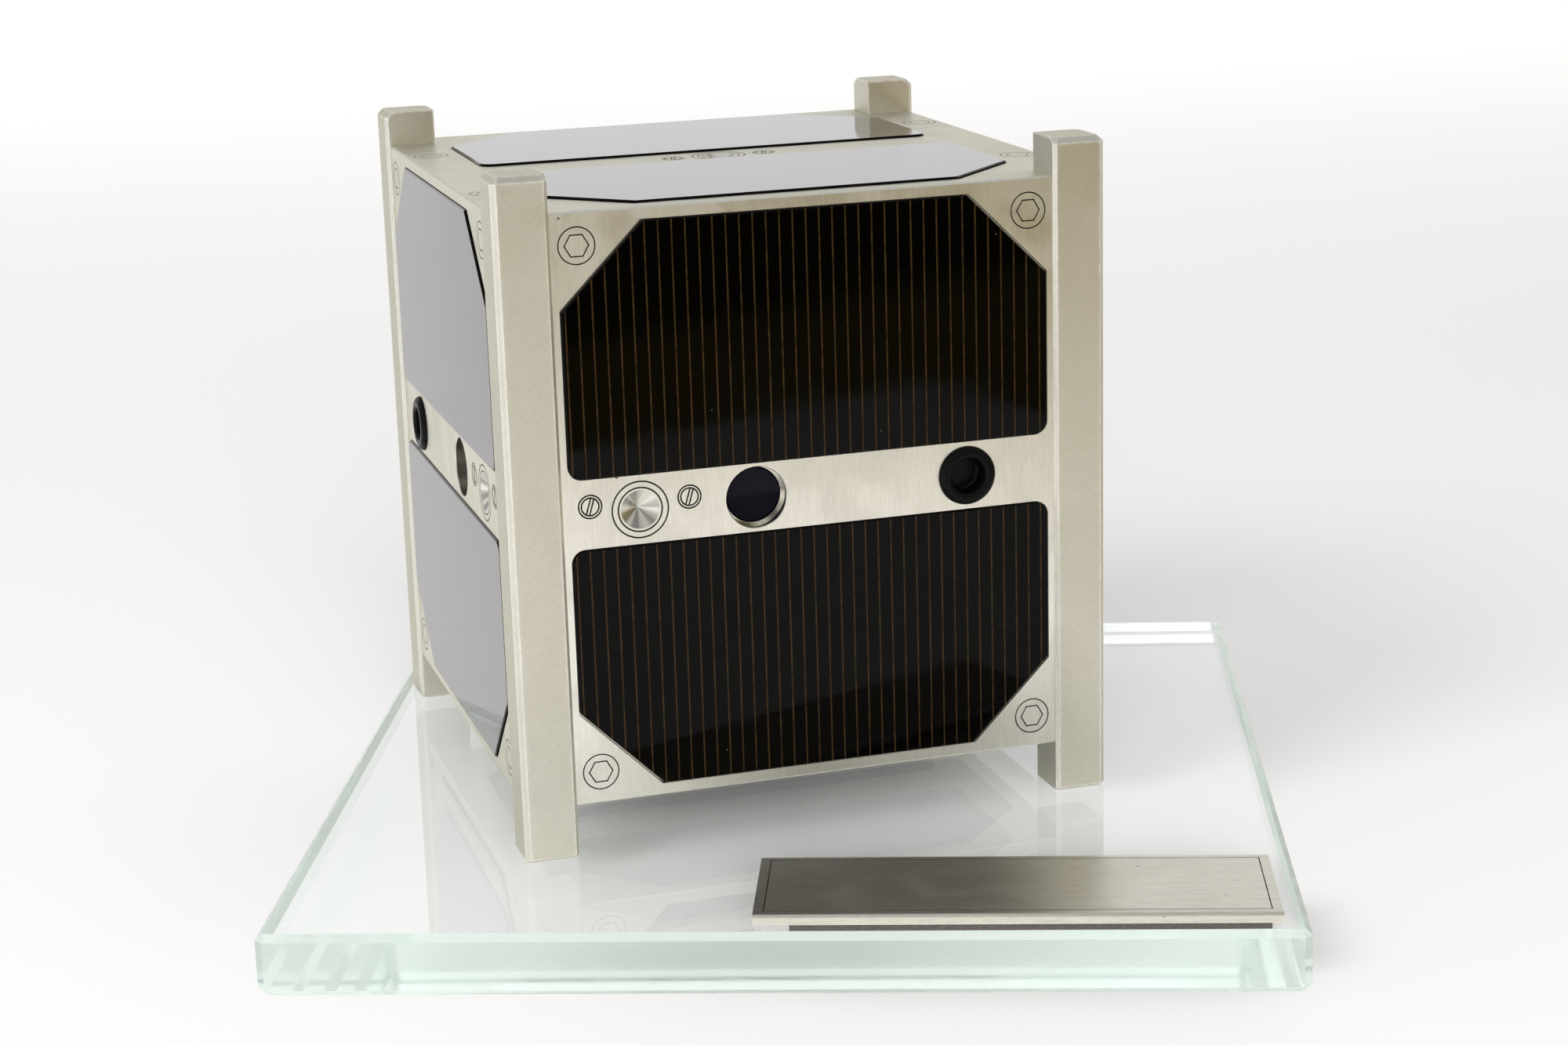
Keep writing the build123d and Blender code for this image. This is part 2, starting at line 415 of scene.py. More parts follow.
# ---- Name plate ----------------------------------------------------------------------------
# A strip of stainless steel, brushed along its length and pressed onto the tape. A fine line is
# engraved round its edge, and the field inside it is blank.

plate_steel = (0.82, 0.795, 0.70)
plate_bright = (0.93, 0.91, 0.84)
plate_shades = (0.86, 1.1)
plate_roughness = (0.34, 0.37)
plate_marks = (400.0, 9000.0, 9000.0)  # how closely the marks lie along X, Y and Z
plate_mark_depth = 0.04 * MM
plate_wear = 0.4 * MM
plate_smear_scale = 110.0
plate_speck_scale = 310.0
plate_speck_size = 0.05
speck_strength = 0.3
engraved_metal = (0.11, 0.104, 0.085)
engraved_shades = (0.6, 1.5)
engraved_roughness = (0.45, 0.3)
grime_scale = 2500.0
grime_reach = (0.35, 0.65)
engraving_angle = 25  # in degrees
ENGRAVED = 2  # where the engraved finish stands in a list of finishes

# The border line, and how far a cutter stands out of the metal, in millimetres.
border_inset = 1.6
border_width = 0.2
border_depth = 0.09
cutter_rise = 0.1


def effect(name, inputs, outputs):
    """An empty shader node group with its sockets, and its two end nodes."""
    tree = bpy.data.node_groups.new(name, "ShaderNodeTree")
    for way, sockets in (("INPUT", inputs), ("OUTPUT", outputs)):
        for socket, kind in sockets.items():
            tree.interface.new_socket(socket, in_out=way, socket_type="NodeSocket" + kind)
    return tree, tree.nodes.new("NodeGroupInput").outputs, tree.nodes.new("NodeGroupOutput")


def use(tree, group, inputs=()):
    """Places a node group in a material, and gives its outputs."""
    return add(tree, "ShaderNodeGroup", inputs, node_tree=group).outputs


# Brush marks: fine scratches along one direction, with a few deeper ones.
coarse_share = 0.3
mark_reach = (0.3, 0.7)
brushed, given, taken = effect(
    "brush_marks", {"Place": "Vector", "Fineness": "Vector"}, {"Height": "Float", "Tone": "Float"}
)
stretched = add(
    brushed,
    "ShaderNodeVectorMath",
    {0: given["Place"], 1: given["Fineness"]},
    operation="MULTIPLY",
).outputs[0]
fine = add(
    brushed,
    "ShaderNodeTexNoise",
    {"Vector": stretched, "Scale": 1.0, "Detail": 3.0, "Roughness": 0.6},
).outputs["Fac"]
coarse = add(
    brushed,
    "ShaderNodeTexNoise",
    {"Vector": stretched, "Scale": 0.23, "Detail": 2.0, "Roughness": 0.5},
).outputs["Fac"]
mostly_fine = add(brushed, "ShaderNodeMix", {0: coarse_share, 2: fine, 3: coarse}).outputs[0]
brushed.links.new(mostly_fine, taken.inputs["Height"])
brushed.links.new(ramp(brushed, mostly_fine, *mark_reach), taken.inputs["Tone"])

# Edge wear: where a corner is rubbed bright, found by rounding it and comparing the normals.
worn_turn = (0.995, 0.86)
patch_reach = (0.35, 0.65)
least_wear = 0.35
worn, given, taken = effect("edge_wear", {"Reach": "Float", "Place": "Vector"}, {"Worn": "Float"})
rounded = add(worn, "ShaderNodeBevel", {"Radius": given["Reach"]}, samples=4).outputs[0]
straight = add(worn, "ShaderNodeNewGeometry").outputs["Normal"]
turned = add(
    worn, "ShaderNodeVectorMath", {0: rounded, 1: straight}, operation="DOT_PRODUCT"
).outputs["Value"]
patchy = add(
    worn, "ShaderNodeTexNoise", {"Vector": given["Place"], "Scale": 900.0, "Detail": 3.0}
).outputs["Fac"]
edge = ramp(worn, turned, *worn_turn)
patches = ramp(worn, patchy, *patch_reach, least_wear, 1.0)
worn.links.new(maths(worn, "MULTIPLY", edge, patches), taken.inputs["Worn"])

# Handling: broad, faint smears from fingers and cloths.
smear_reach = (0.35, 0.7)
handled, given, taken = effect(
    "handling", {"Place": "Vector", "Scale": "Float"}, {"Smear": "Float"}
)
wave = add(
    handled,
    "ShaderNodeTexNoise",
    {"Vector": given["Place"], "Scale": given["Scale"], "Detail": 4.0, "Distortion": 0.6},
).outputs["Fac"]
handled.links.new(ramp(handled, wave, *smear_reach), taken.inputs["Smear"])

# Specks: a few small pits and grains of dust, far apart.
bare_share = 0.8
specked, given, taken = effect(
    "specks", {"Place": "Vector", "Scale": "Float", "Size": "Float"}, {"Speck": "Float"}
)
grains = add(specked, "ShaderNodeTexVoronoi", {"Vector": given["Place"], "Scale": given["Scale"]})
near = maths(specked, "LESS_THAN", grains.outputs["Distance"], given["Size"])
lot = add(specked, "ShaderNodeSeparateColor", {0: grains.outputs["Color"]}).outputs[0]
chosen = maths(specked, "GREATER_THAN", lot, bare_share)
specked.links.new(maths(specked, "MULTIPLY", near, chosen), taken.inputs["Speck"])

steel, tree, shader = finish("brushed_steel", Metallic=1.0, Roughness=0.36, Anisotropic=0.7)
place = add(tree, "ShaderNodeTexCoord").outputs["Object"]
marks = use(tree, brushed, {"Place": place, "Fineness": plate_marks})
wear = use(tree, worn, {"Reach": plate_wear, "Place": place})["Worn"]
smear = use(tree, handled, {"Place": place, "Scale": plate_smear_scale})["Smear"]
speck = use(
    tree, specked, {"Place": place, "Scale": plate_speck_scale, "Size": plate_speck_size}
)["Speck"]
tone = blend_colours(tree, marks["Tone"], *shades(plate_steel, plate_shades))
tone = blend_colours(tree, wear, tone, opaque(plate_bright))
tone = blend_colours(tree, speck, tone, opaque(plate_steel, speck_strength))
rough = ramp(tree, smear, 0.0, 1.0, *plate_roughness)
dent = add(
    tree,
    "ShaderNodeBump",
    {"Height": marks["Height"], "Strength": 0.5, "Distance": plate_mark_depth},
).outputs[0]
across_marks = add(tree, "ShaderNodeCombineXYZ", {1: 1.0}).outputs[0]
link(tree, shader, Base_Color=tone, Roughness=rough, Normal=dent, Tangent=across_marks)

engraved_finish, tree, shader = finish("engraved_line", Metallic=1.0)
place = add(tree, "ShaderNodeTexCoord").outputs["Object"]
grime = add(tree, "ShaderNodeTexNoise", {"Vector": place, "Scale": grime_scale, "Detail": 3.0})
grime = ramp(tree, grime.outputs["Fac"], *grime_reach)
tone = blend_colours(tree, grime, *shades(engraved_metal, engraved_shades))
link(tree, shader, Base_Color=tone, Roughness=ramp(tree, grime, 0.0, 1.0, *engraved_roughness))


def shifted(place, x, y):
    """A place moved along its own X and Y, in millimetres."""
    return place @ Matrix.Translation((x * MM, y * MM, 0))


def straight_line(builder, length, place, width, depth):
    """A V-shaped cut along local X, in millimetres, with ends cut square."""
    reach = width / 2 * (depth + cutter_rise) / depth
    ends = [
        [
            builder.verts.new(place @ (Vector((x, y, z)) * MM))
            for y, z in ((-reach, cutter_rise), (0, -depth), (reach, cutter_rise))
        ]
        for x in (-length / 2, length / 2)
    ]
    first, last = ends
    faces = [builder.faces.new(first[::-1]), builder.faces.new(last)]
    for k in range(len(first)):
        after = (k + 1) % len(first)
        faces.append(builder.faces.new([first[k], first[after], last[after], last[k]]))
    for face in faces:
        face.material_index = ENGRAVED


def engrave(node, finishes, builder):
    """Cuts the engraving out of a copy of a CAD node's mesh, which then stands for it."""
    carved = stand_in(node, finishes, node + "_engraved")
    carved.data.uv_layers.new(name="turning")
    builder.loops.layers.uv.verify()
    bmesh.ops.recalc_face_normals(builder, faces=builder.faces)
    cutter_mesh = bpy.data.meshes.new("cutter")
    builder.to_mesh(cutter_mesh)
    builder.free()
    cutter_mesh.uv_layers[0].name = "turning"
    for each in finishes:
        cutter_mesh.materials.append(each)
    cutter = bpy.data.objects.new("cutter", cutter_mesh)
    bpy.context.scene.collection.objects.link(cutter)
    cut = carved.modifiers.new("engraving", "BOOLEAN")
    cut.object = cutter
    cut.operation = "DIFFERENCE"
    cut.solver = "EXACT"
    cut.use_self = True
    bpy.context.view_layer.update()
    scene_now = bpy.context.evaluated_depsgraph_get()
    result = bpy.data.meshes.new_from_object(carved.evaluated_get(scene_now))
    result.name = node + "_engraved"
    carved.modifiers.clear()
    carved.data = result
    bpy.data.objects.remove(cutter)
    result.shade_smooth()
    result.set_sharp_from_angle(angle=math.radians(engraving_angle))


low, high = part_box("name_plate")
plate_middle = Matrix.Translation((low.x / 2 + high.x / 2, low.y / 2 + high.y / 2, high.z))
reach_x = (high.x - low.x) / MM / 2 - border_inset
reach_y = (high.y - low.y) / MM / 2 - border_inset
builder = bmesh.new()
for side in (-1, 1):
    along = shifted(plate_middle, 0, side * reach_y)
    upright = shifted(plate_middle, side * reach_x, 0) @ Matrix.Rotation(math.pi / 2, 4, "Z")
    straight_line(builder, 2 * reach_x + border_width, along, border_width, border_depth)
    straight_line(builder, 2 * reach_y + border_width, upright, border_width, border_depth)
engrave("name_plate", [steel, steel, engraved_finish], builder)


# ---- Corner rails --------------------------------------------------------------------------
# Four square bars of aluminium, milled and then rubbed down at a slant by hand. Their arrises
# are broken and catch the light.

# The cube stands turned on the glass, about an upright axis through the middle of its top.
cube_turn = math.radians(20.5)
lowest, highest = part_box("panel_top")
cube_centre = (lowest + highest) / 2
cube_centre.z = glass_top

rail_metal = (0.78, 0.755, 0.665)
rail_bright = (0.97, 0.96, 0.92)
rail_shades = (0.91, 1.09)
rail_roughness = (0.38, 0.46)
grazing_tint = (0.66, 0.65, 0.58, 1.0)
rail_slant = math.radians(-38)
rail_marks = (1.6, 15.0, 1.0)  # along the slant, across it and in depth
rail_grain_scale = 9.0
rail_grain_share = 0.5
rail_mark_depth = 0.07 * MM
rail_wear = 0.7 * MM
rail_smear_scale = 0.06
worn_roughness = 0.2
worn_metal = 0.55

# Cube axes: a place in millimetres along the cube's own width, depth and height, and how far
# across its face it lies.
side_slope = 0.7
cube_axes, given, taken = effect(
    "cube_axes", {}, {"Place": "Vector", "Across": "Float", "Height": "Float"}
)
corner = add(cube_axes, "ShaderNodeTexCoord").outputs
turned_place = add(
    cube_axes,
    "ShaderNodeMapping",
    {
        "Vector": corner["Object"],
        "Location": cube_centre,
        "Rotation": (0, 0, cube_turn),
        "Scale": (MM, MM, MM),
    },
    vector_type="TEXTURE",
).outputs[0]
turned_normal = add(
    cube_axes,
    "ShaderNodeMapping",
    {"Vector": corner["Normal"], "Rotation": (0, 0, cube_turn)},
    vector_type="TEXTURE",
).outputs[0]
parts = add(cube_axes, "ShaderNodeSeparateXYZ", {0: turned_place}).outputs
sideways = add(cube_axes, "ShaderNodeSeparateXYZ", {0: turned_normal}).outputs["X"]
from_side = maths(cube_axes, "GREATER_THAN", maths(cube_axes, "ABSOLUTE", sideways), side_slope)
across = add(cube_axes, "ShaderNodeMix", {0: from_side, 2: parts["X"], 3: parts["Y"]}).outputs[0]
cube_axes.links.new(turned_place, taken.inputs["Place"])
cube_axes.links.new(across, taken.inputs["Across"])
cube_axes.links.new(parts["Z"], taken.inputs["Height"])

rail_finish, tree, shader = finish(
    "rubbed_aluminium", Metallic=1.0, Roughness=0.42, Specular_Tint=grazing_tint
)
axes = use(tree, cube_axes)
flat = add(tree, "ShaderNodeCombineXYZ", {0: axes["Across"], 1: axes["Height"]}).outputs[0]
slanted = add(
    tree, "ShaderNodeMapping", {"Vector": flat, "Rotation": (0, 0, rail_slant)}
).outputs[0]
marks = use(tree, brushed, {"Place": slanted, "Fineness": rail_marks})
grain = add(
    tree,
    "ShaderNodeTexNoise",
    {"Vector": axes["Place"], "Scale": rail_grain_scale, "Detail": 2.0},
).outputs["Fac"]
place = add(tree, "ShaderNodeTexCoord").outputs["Object"]
wear = use(tree, worn, {"Reach": rail_wear, "Place": place})["Worn"]
smear = use(tree, handled, {"Place": axes["Place"], "Scale": rail_smear_scale})["Smear"]
tone = blend_colours(tree, marks["Tone"], *shades(rail_metal, rail_shades))
tone = blend_colours(tree, wear, tone, opaque(rail_bright))
rough = ramp(tree, smear, 0.0, 1.0, *rail_roughness)
# A worn arris is smoother than the rest, and it scatters some of the lamps' light.
rough = add(tree, "ShaderNodeMix", {0: wear, 2: rough, 3: worn_roughness}).outputs[0]
metal = add(tree, "ShaderNodeMix", {0: wear, 2: 1.0, 3: worn_metal}).outputs[0]
relief = maths(tree, "ADD", marks["Height"], maths(tree, "MULTIPLY", grain, rail_grain_share))
dent = add(
    tree, "ShaderNodeBump", {"Height": relief, "Strength": 0.5, "Distance": rail_mark_depth}
).outputs[0]
link(tree, shader, Base_Color=tone, Roughness=rough, Metallic=metal, Normal=dent)
dress(rail_finish, *[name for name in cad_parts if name.startswith("rail_")])


# ---- Panels --------------------------------------------------------------------------------
# Plates of brushed aluminium between the rails. Their screws are only engraved: a ring with a
# hexagon at each corner, and a ring with a slot on each side of the drilled dimple.

panel_metal = (0.91, 0.89, 0.81)
panel_bright = (0.94, 0.93, 0.88)
panel_shades = (0.93, 1.07)
panel_roughness = (0.31, 0.4)
panel_marks = (9.0, 9.0, 0.35)  # across the panel, in depth and up it
panel_grain_scale = 6.0
panel_grain_share = 0.6
panel_mark_depth = 0.06 * MM
panel_wear = 0.3 * MM
panel_smear_scale = 0.11
panel_smear_share = 0.35
panel_smear_strength = 0.86
panel_speck_scale = 0.13
panel_speck_size = 0.035
TURNED = 1  # where the turned finish stands in a list of finishes

# The engraving, the dimple and the lens hole, in millimetres from the middle of the cube or of a
# side, and how many straight pieces their outlines are made of.
panel_face = 49.3
corner_marks_across = 36.98
corner_marks_up = 42.45
top_marks_across = 45.2
top_marks_up = 24.2
socket_ring = 2.9
socket_flats = 3.34
dimple_place = 28.7
dimple_radius = 3.1
dimple_point = math.radians(118)
dimple_steps = 12
dimple_inner_ring = 3.55
dimple_outer_ring = 4.55
slot_screw_place = 8.05
slot_screw_up = 1.25
slot_screw_outer = 1.86
slot_screw_inner = 1.42
slot_half_width = 0.27
slot_tilt = math.radians(-17)
thin_line = 0.21
bold_line = 0.26
line_depth = 0.14
line_sides = 72
lens_place = 9.6
lens_hole = 4.95
lens_sink = 2.2
lens_mouth = 0.12
round_sides = 96
hexagon_sides = 6
cutter_extra = 0.02

panel_finish, tree, shader = finish(
    "brushed_aluminium",
    Metallic=1.0,
    Roughness=0.34,
    Anisotropic=0.6,
    Specular_Tint=grazing_tint,
)
axes = use(tree, cube_axes)
marks = use(tree, brushed, {"Place": axes["Place"], "Fineness": panel_marks})
grain = add(
    tree,
    "ShaderNodeTexNoise",
    {"Vector": axes["Place"], "Scale": panel_grain_scale, "Detail": 2.0},
).outputs["Fac"]
place = add(tree, "ShaderNodeTexCoord").outputs["Object"]
wear = use(tree, worn, {"Reach": panel_wear, "Place": place})["Worn"]
smear = use(tree, handled, {"Place": axes["Place"], "Scale": panel_smear_scale})["Smear"]
speck = use(
    tree,
    specked,
    {"Place": axes["Place"], "Scale": panel_speck_scale, "Size": panel_speck_size},
)["Speck"]
faint = maths(tree, "MULTIPLY", smear, panel_smear_share)
tone = blend_colours(tree, marks["Tone"], *shades(panel_metal, panel_shades))
tone = blend_colours(tree, faint, tone, opaque(panel_metal, panel_smear_strength))
tone = blend_colours(tree, wear, tone, opaque(panel_bright))
tone = blend_colours(tree, speck, tone, opaque(panel_metal, speck_strength))
rough = ramp(tree, smear, 0.0, 1.0, *panel_roughness)
relief = maths(tree, "ADD", marks["Height"], maths(tree, "MULTIPLY", grain, panel_grain_share))
dent = add(
    tree, "ShaderNodeBump", {"Height": relief, "Strength": 0.4, "Distance": panel_mark_depth}
).outputs[0]
# A level line lies across the upright marks of a side. The small vector added to it counts only
# on the flat top and bottom, where it runs from front to back of the cube.
top_pull = 0.05
across_top = Matrix.Rotation(cube_turn, 3, "Z") @ Vector((0, top_pull, 0))
flat_normal = add(tree, "ShaderNodeNewGeometry").outputs["True Normal"]
level_line = add(
    tree, "ShaderNodeVectorMath", {0: flat_normal, 1: (0, 0, 1)}, operation="CROSS_PRODUCT"
).outputs[0]
across_marks = add(
    tree, "ShaderNodeVectorMath", {0: level_line, 1: across_top}, operation="ADD"
).outputs[0]
link(tree, shader, Base_Color=tone, Roughness=rough, Normal=dent, Tangent=across_marks)

# Turned faces shine in wedges that meet at the middle, from fine rings that the tool left. Their
# colour also holds painted highlights and painted shade, as lighter and darker wedges.
wedge_scale = 1.2
wedge_reach = (0.36, 0.62)
wedge_highlight_shades = (0.42, 1.12)
highlight_wedge_seed = 4.0
ring_scale = 60.0
ring_reach = (0.3, 0.7)
ring_share = 0.35
ring_strength = 0.45
turned_finish, tree, shader = finish(
    "turned_aluminium", Metallic=1.0, Roughness=0.26, Anisotropic=0.85
)
around = add(tree, "ShaderNodeTangent", direction_type="UV_MAP", uv_map="turning").outputs[0]
sheet = add(tree, "ShaderNodeUVMap", uv_map="turning").outputs[0]
turn_and_ring = add(tree, "ShaderNodeSeparateXYZ", {0: sheet}).outputs
angle = maths(tree, "MULTIPLY", turn_and_ring["X"], 2 * math.pi)
circle = add(
    tree,
    "ShaderNodeCombineXYZ",
    {0: maths(tree, "COSINE", angle), 1: maths(tree, "SINE", angle), 2: highlight_wedge_seed},
).outputs[0]
painted_wedges = add(
    tree, "ShaderNodeTexNoise", {"Vector": circle, "Scale": wedge_scale, "Detail": 2.5}
).outputs["Fac"]
painted_wedges = ramp(tree, painted_wedges, *wedge_reach)
rings = add(
    tree,
    "ShaderNodeTexNoise",
    {"Scale": ring_scale, "Detail": 2.0},
    noise_dimensions="1D",
)
tree.links.new(turn_and_ring["Y"], rings.inputs["W"])
rings = ramp(tree, rings.outputs["Fac"], *ring_reach, 0.0, ring_share)
# Painted highlights and shade: the wedges make the colour lighter and darker.
tone = blend_colours(tree, painted_wedges, *shades(panel_metal, wedge_highlight_shades))
tone = blend_colours(tree, rings, tone, opaque(panel_metal, ring_strength))
link(tree, shader, Base_Color=tone, Tangent=around)


def lathe(builder, profile, sides, place, finish_index=0):
    """Adds a closed profile of (radius, height) in mm, turned about the local Z axis."""
    sheet = builder.loops.layers.uv.verify()
    rings = []
    for radius, height in profile:
        if radius == 0:
            rings.append([builder.verts.new(place @ (Vector((0, 0, height)) * MM))] * sides)
            continue
        ring = []
        for k in range(sides):
            angle = 2 * math.pi * k / sides
            spot = Vector((radius * math.cos(angle), radius * math.sin(angle), height)) * MM
            ring.append(builder.verts.new(place @ spot))
        rings.append(ring)
    for number, ring in enumerate(rings):
        after = rings[(number + 1) % len(rings)]
        for k in range(sides):
            beside = (k + 1) % sides
            shape = list(dict.fromkeys([ring[k], ring[beside], after[beside], after[k]]))
            if len(shape) < 3:
                continue
            face = builder.faces.new(shape)
            face.material_index = finish_index
            for loop in face.loops:
                at_start = loop.vert in (ring[k], after[k]) and loop.vert is not ring[beside]
                place_round = (k if at_start else k + 1) / sides
                place_along = number if loop.vert in ring else number + 1
                loop[sheet].uv = (place_round, place_along / len(rings))


def groove(builder, radius, place, width=thin_line, sides=line_sides):
    """A V-shaped line round a circle, or round a polygon when it has few sides."""
    reach = width / 2 * (line_depth + cutter_rise) / line_depth / math.cos(math.pi / sides)
    profile = [(radius - reach, cutter_rise), (radius, -line_depth), (radius + reach, cutter_rise)]
    lathe(builder, profile, sides, place, ENGRAVED)


def socket_screw(builder, place):
    """A ring with a hexagon inside it."""
    groove(builder, socket_ring, place)
    corner_radius = socket_flats / 2 / math.cos(math.pi / hexagon_sides)
    groove(builder, corner_radius, place, sides=hexagon_sides)


def slotted_screw(builder, place):
    """Two rings, with a tilted slot of two lines inside them."""
    for radius in (slot_screw_outer, slot_screw_inner):
        groove(builder, radius, place, bold_line)
    across_slot = place @ Matrix.Rotation(math.pi / 2 + slot_tilt, 4, "Z")
    length = 2 * math.sqrt(slot_screw_inner**2 - slot_half_width**2)
    for y in (-slot_half_width, slot_half_width):
        straight_line(builder, length, shifted(across_slot, 0, y), bold_line, line_depth)


def drilled_dimple(builder, place):
    """The drill's cone, turned a hair deeper than the CAD cone, inside its two rings."""
    radius = dimple_radius + cutter_extra
    depth = dimple_radius / math.tan(dimple_point / 2) + cutter_extra
    profile = [(radius + cutter_rise, cutter_rise)]
    for k in range(dimple_steps):
        profile.append((radius * (1 - k / dimple_steps), -depth * k / dimple_steps))
    profile += [(0, -depth), (0, cutter_rise)]
    lathe(builder, profile, round_sides, place, TURNED)
    groove(builder, dimple_inner_ring, place, bold_line)
    groove(builder, dimple_outer_ring, place, bold_line)


def counterbore(builder, place):
    """The wide part of a lens hole, with its edge broken, down to the ledge."""
    radius = lens_hole + cutter_extra
    profile = [
        (0, cutter_rise),
        (lens_hole + lens_mouth + cutter_rise, cutter_rise),
        (radius, -lens_mouth),
        (radius, -lens_sink - cutter_extra),
        (0, -lens_sink - cutter_extra),
    ]
    lathe(builder, profile, round_sides, place, TURNED)


def face_frame(turn, up):
    """The middle of a side's outer face, with X across it, Y up it and Z out of it."""
    stand = Matrix.Translation((cube_centre.x, cube_centre.y, up))
    stand = stand @ Matrix.Rotation(cube_turn + math.radians(turn), 4, "Z")
    stand = stand @ Matrix.Translation((0, -panel_face * MM, 0))
    return stand @ Matrix.Rotation(math.pi / 2, 4, "X")


# Each side's turn from the front, in degrees, and the hand on which its dimple and lens lie.
SIDES = {"front": (0, -1), "right": (90, 1), "back": (180, -1), "left": (270, 1)}
PANEL_FINISHES = [panel_finish, turned_finish, engraved_finish]

for side, (turn, hand) in SIDES.items():
    low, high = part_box("panel_" + side)
    face = face_frame(turn, (low.z + high.z) / 2)
    builder = bmesh.new()
    for x in (-corner_marks_across, corner_marks_across):
        for y in (-corner_marks_up, corner_marks_up):
            socket_screw(builder, shifted(face, x, y))
    dimple = shifted(face, hand * dimple_place, 0)
    drilled_dimple(builder, dimple)
    for x in (-slot_screw_place, slot_screw_place):
        slotted_screw(builder, shifted(dimple, x, slot_screw_up))
    counterbore(builder, shifted(face, hand * lens_place, 0))
    engrave("panel_" + side, PANEL_FINISHES, builder)

builder = bmesh.new()
top_face = Matrix.Translation((cube_centre.x, cube_centre.y, highest.z))
top_face = top_face @ Matrix.Rotation(cube_turn, 4, "Z")
for x in (-top_marks_across, top_marks_across):
    for y in (-top_marks_up, top_marks_up):
        socket_screw(builder, shifted(top_face, x, y))
drilled_dimple(builder, top_face)
for x in (-slot_screw_place, slot_screw_place):
    slotted_screw(builder, shifted(top_face, x, 0))
engrave("panel_top", PANEL_FINISHES, builder)
dress(panel_finish, "panel_bottom")


# ---- Lenses --------------------------------------------------------------------------------
# Discs of dark blue glass, pushed in from behind and polished flat, with a fine bevel round the
# edge. A painted reflection makes their upper half a little lighter, up to a wavy line.

lens_upper_reflection = (0.006, 0.0055, 0.010)
lens_lower = (0.0012, 0.0012, 0.004)
lens_roughness = (0.02, 0.08)
lens_smear_scale = 0.3
reflection_wave = 0.7
reflection_edge = (-0.5, 0.6)

# In millimetres, with the shoulder and the back measured inwards from the panel's face.
lens_radius = 4.5
lens_bevel = 0.22
lens_shoulder = 4.5
lens_flange = 0.9
lens_back = 6.0

lens_glass, tree, shader = finish("lens_glass", Roughness=0.03, IOR=1.16)
axes = use(tree, cube_axes)
low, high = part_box("lens_front")
middle_height = ((low.z + high.z) / 2 - cube_centre.z) / MM
# The painted reflection in the upper half ends at a wavy line.
wobble = add(tree, "ShaderNodeTexNoise", {"Vector": axes["Place"], "Scale": 1.2, "Detail": 3.0})
wobble = ramp(tree, wobble.outputs["Fac"], 0.0, 1.0, -reflection_wave, reflection_wave)
level = maths(tree, "ADD", axes["Height"], wobble)
reflected_upper = ramp(tree, level, *[middle_height + edge for edge in reflection_edge])
smear = use(tree, handled, {"Place": axes["Place"], "Scale": lens_smear_scale})["Smear"]
tone = blend_colours(tree, reflected_upper, opaque(lens_lower), opaque(lens_upper_reflection))
link(tree, shader, Base_Color=tone, Roughness=ramp(tree, smear, 0.0, 1.0, *lens_roughness))


def turned_piece(name, node, made, profile, place):
    """A smooth piece turned from a profile, which stands for a CAD node."""
    builder = bmesh.new()
    lathe(builder, profile, round_sides, place)
    bmesh.ops.recalc_face_normals(builder, faces=builder.faces)
    piece = mesh_object(name, builder, [made])
    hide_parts(node)
    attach(piece, "root")


for side, (turn, hand) in SIDES.items():
    low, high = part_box("lens_" + side)
    place = shifted(face_frame(turn, (low.z + high.z) / 2), hand * lens_place, 0)
    profile = [
        (0, -lens_sink),
        (lens_radius - lens_bevel, -lens_sink),
        (lens_radius, -lens_sink - lens_bevel),
        (lens_radius, -lens_shoulder),
        (lens_radius + lens_flange, -lens_shoulder),
        (lens_radius + lens_flange, -lens_back),
        (0, -lens_back),
    ]
    turned_piece("lens_disc_" + side, "lens_" + side, lens_glass, profile, place)


# ---- Grommets ------------------------------------------------------------------------------
# Black rubber grommets pushed into their holes, moulded with a soft round rim and a blind bore.
# Their barrel is hidden in the hole, and only the rim stands out.

rubber_roughness = (0.26, 0.4)
rubber_smear_scale = 400.0
grit_scale = 5000.0
grit_depth = 0.03 * MM

# In millimetres, with radii from the bore's axis and heights from the panel's face.
grommet_place = -26.0
grommet_radius = 4.85
grommet_proud = 1.0
grommet_bore = 2.85
bore_floor = -2.4
bore_taper = 0.1
floor_inset = 0.5
floor_rise = 0.3
barrel_radius = 3.8
barrel_end = -4.0
outer_rounding = 1.0
inner_rounding = 0.62
rounding_steps = 10

rubber, tree, shader = finish("black_rubber", Base_Color=(0.0016, 0.0016, 0.0016, 1), IOR=1.22)
place = add(tree, "ShaderNodeTexCoord").outputs["Object"]
grit = add(tree, "ShaderNodeTexNoise", {"Vector": place, "Scale": grit_scale, "Detail": 3.0})
dent = add(
    tree,
    "ShaderNodeBump",
    {"Height": grit.outputs["Fac"], "Strength": 0.3, "Distance": grit_depth},
).outputs[0]
smear = use(tree, handled, {"Place": place, "Scale": rubber_smear_scale})["Smear"]
link(tree, shader, Normal=dent, Roughness=ramp(tree, smear, 0.0, 1.0, *rubber_roughness))

